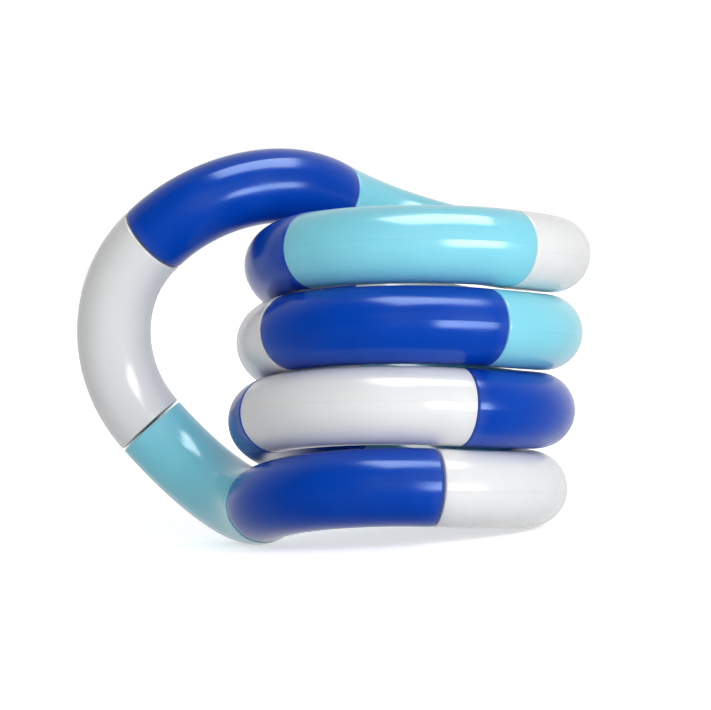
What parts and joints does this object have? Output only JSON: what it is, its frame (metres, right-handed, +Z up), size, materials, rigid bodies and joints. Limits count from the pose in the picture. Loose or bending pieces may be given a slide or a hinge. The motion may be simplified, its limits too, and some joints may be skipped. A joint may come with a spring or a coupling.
{
  "type": "twisty snake puzzle",
  "caption": "Fidget puzzle made of a closed chain of curved tube links that swivel on one another, lying coiled up with a return loop at one side.",
  "frame": {"origin": "middle of the bounding box in plan, on the level surface the coiled chain lies on", "axes": "+X towards the coil's side away from the return loop, seen from the front (-Y), +Z up along the coil's stack"},
  "size_m": [0.0828, 0.0588, 0.0624],
  "materials": {
    "blue_plastic": "gloss",
    "white_plastic": "gloss",
    "aqua_plastic": "gloss",
    "natural_plastic": "satin"
  },
  "bodies": {
    "link_01": {"link_01_upper_shell": "blue_plastic", "link_01_lower_shell": "blue_plastic", "link_01_swivel_pin": "natural_plastic"},
    "link_02": {"link_02_upper_shell": "white_plastic", "link_02_lower_shell": "white_plastic", "link_02_swivel_pin": "natural_plastic"},
    "link_03": {"link_03_upper_shell": "aqua_plastic", "link_03_lower_shell": "aqua_plastic", "link_03_swivel_pin": "natural_plastic"},
    "link_04": {"link_04_upper_shell": "blue_plastic", "link_04_lower_shell": "blue_plastic", "link_04_swivel_pin": "natural_plastic"},
    "link_05": {"link_05_upper_shell": "white_plastic", "link_05_lower_shell": "white_plastic", "link_05_swivel_pin": "natural_plastic"},
    "link_06": {"link_06_upper_shell": "blue_plastic", "link_06_lower_shell": "blue_plastic", "link_06_swivel_pin": "natural_plastic"},
    "link_07": {"link_07_upper_shell": "aqua_plastic", "link_07_lower_shell": "aqua_plastic", "link_07_swivel_pin": "natural_plastic"},
    "link_08": {"link_08_upper_shell": "white_plastic", "link_08_lower_shell": "white_plastic", "link_08_swivel_pin": "natural_plastic"},
    "link_09": {"link_09_upper_shell": "blue_plastic", "link_09_lower_shell": "blue_plastic", "link_09_swivel_pin": "natural_plastic"},
    "link_10": {"link_10_upper_shell": "aqua_plastic", "link_10_lower_shell": "aqua_plastic", "link_10_swivel_pin": "natural_plastic"},
    "link_11": {"link_11_upper_shell": "white_plastic", "link_11_lower_shell": "white_plastic", "link_11_swivel_pin": "natural_plastic"},
    "link_12": {"link_12_upper_shell": "blue_plastic", "link_12_lower_shell": "blue_plastic", "link_12_swivel_pin": "natural_plastic"},
    "link_13": {"link_13_upper_shell": "aqua_plastic", "link_13_lower_shell": "aqua_plastic", "link_13_swivel_pin": "natural_plastic"},
    "link_14": {"link_14_upper_shell": "white_plastic", "link_14_lower_shell": "white_plastic", "link_14_swivel_pin": "natural_plastic"},
    "link_15": {"link_15_upper_shell": "aqua_plastic", "link_15_lower_shell": "aqua_plastic", "link_15_swivel_pin": "natural_plastic"},
    "link_16": {"link_16_upper_shell": "blue_plastic", "link_16_lower_shell": "blue_plastic", "link_16_swivel_pin": "natural_plastic"},
    "link_17": {"link_17_upper_shell": "white_plastic", "link_17_lower_shell": "white_plastic", "link_17_swivel_pin": "natural_plastic"},
    "link_18": {"link_18_upper_shell": "aqua_plastic", "link_18_lower_shell": "aqua_plastic", "link_18_swivel_pin": "natural_plastic"}
  },
  "joints": [
    {"name": "swivel_18_01", "type": "hinge", "parent": "link_01", "child": "link_18", "pos_m": [-0.01268, -0.00753, 0.00665], "axis": [-0.2187, 0.9529, -0.21], "range_deg": [0, 70]},
    {"name": "swivel_01_02", "type": "hinge", "parent": "link_01", "child": "link_02", "pos_m": [0.01386, -0.02291, 0.00858], "axis": [0.9537, 0.2736, -0.1246], "range_deg": [0, 140]},
    {"name": "swivel_02_03", "type": "hinge", "parent": "link_02", "child": "link_03", "pos_m": [0.02818, 0.00416, 0.00598], "axis": [-0.3052, 0.9523, 0.0067], "range_deg": [0, 140]},
    {"name": "swivel_03_04", "type": "hinge", "parent": "link_03", "child": "link_04", "pos_m": [0.00143, 0.01801, 0.0121], "axis": [-0.9061, -0.3253, 0.2705], "range_deg": [0, 140]},
    {"name": "swivel_04_05", "type": "hinge", "parent": "link_04", "child": "link_05", "pos_m": [-0.00981, -0.00927, 0.02072], "axis": [0.3971, -0.9099, 0.1198], "range_deg": [0, 140]},
    {"name": "swivel_05_06", "type": "hinge", "parent": "link_05", "child": "link_06", "pos_m": [0.01888, -0.0203, 0.02043], "axis": [0.902, 0.4107, -0.1329], "range_deg": [0, 140]},
    {"name": "swivel_06_07", "type": "hinge", "parent": "link_06", "child": "link_07", "pos_m": [0.02912, 0.00861, 0.01829], "axis": [-0.4384, 0.8981, 0.0364], "range_deg": [0, 140]},
    {"name": "swivel_07_08", "type": "hinge", "parent": "link_07", "child": "link_08", "pos_m": [0.00079, 0.01832, 0.02521], "axis": [-0.8446, -0.4584, 0.2766], "range_deg": [0, 140]},
    {"name": "swivel_08_09", "type": "hinge", "parent": "link_08", "child": "link_09", "pos_m": [-0.00625, -0.01049, 0.03329], "axis": [0.5257, -0.8459, 0.0897], "range_deg": [0, 140]},
    {"name": "swivel_09_10", "type": "hinge", "parent": "link_09", "child": "link_10", "pos_m": [0.02371, -0.01726, 0.03225], "axis": [0.8311, 0.5391, -0.1368], "range_deg": [0, 140]},
    {"name": "swivel_10_11", "type": "hinge", "parent": "link_10", "child": "link_11", "pos_m": [0.02966, 0.01285, 0.0307], "axis": [-0.5617, 0.8246, 0.0668], "range_deg": [0, 140]},
    {"name": "swivel_11_12", "type": "hinge", "parent": "link_11", "child": "link_12", "pos_m": [0.00037, 0.01822, 0.03832], "axis": [-0.7645, -0.5814, 0.2783], "range_deg": [0, 140]},
    {"name": "swivel_12_13", "type": "hinge", "parent": "link_12", "child": "link_13", "pos_m": [-0.00231, -0.01148, 0.04578], "axis": [0.6432, -0.7634, 0.0591], "range_deg": [0, 140]},
    {"name": "swivel_13_14", "type": "hinge", "parent": "link_13", "child": "link_14", "pos_m": [0.02829, -0.01385, 0.04407], "axis": [0.7423, 0.656, -0.1363], "range_deg": [0, 140]},
    {"name": "swivel_14_15", "type": "hinge", "parent": "link_14", "child": "link_15", "pos_m": [0.02983, 0.01683, 0.04321], "axis": [-0.6727, 0.7335, 0.0973], "range_deg": [0, 140]},
    {"name": "swivel_15_16", "type": "hinge", "parent": "link_15", "child": "link_16", "pos_m": [0.00107, 0.01748, 0.05405], "axis": [-0.5978, -0.7052, 0.3814], "range_deg": [-140, 0]},
    {"name": "swivel_16_17", "type": "hinge", "parent": "link_16", "child": "link_17", "pos_m": [-0.02795, 0.00856, 0.04926], "axis": [-0.7423, 0.2936, -0.6024], "range_deg": [-140, 0]}
  ],
  "couplings": [
    {"joint": "swivel_18_01", "follows": "swivel_01_02", "ratio": 0.5},
    {"joint": "swivel_03_04", "follows": "swivel_01_02", "ratio": 1},
    {"joint": "swivel_04_05", "follows": "swivel_02_03", "ratio": 1},
    {"joint": "swivel_07_08", "follows": "swivel_05_06", "ratio": 1},
    {"joint": "swivel_08_09", "follows": "swivel_06_07", "ratio": 1},
    {"joint": "swivel_11_12", "follows": "swivel_09_10", "ratio": 1},
    {"joint": "swivel_12_13", "follows": "swivel_10_11", "ratio": 1},
    {"joint": "swivel_16_17", "follows": "swivel_15_16", "ratio": 1}
  ]
}
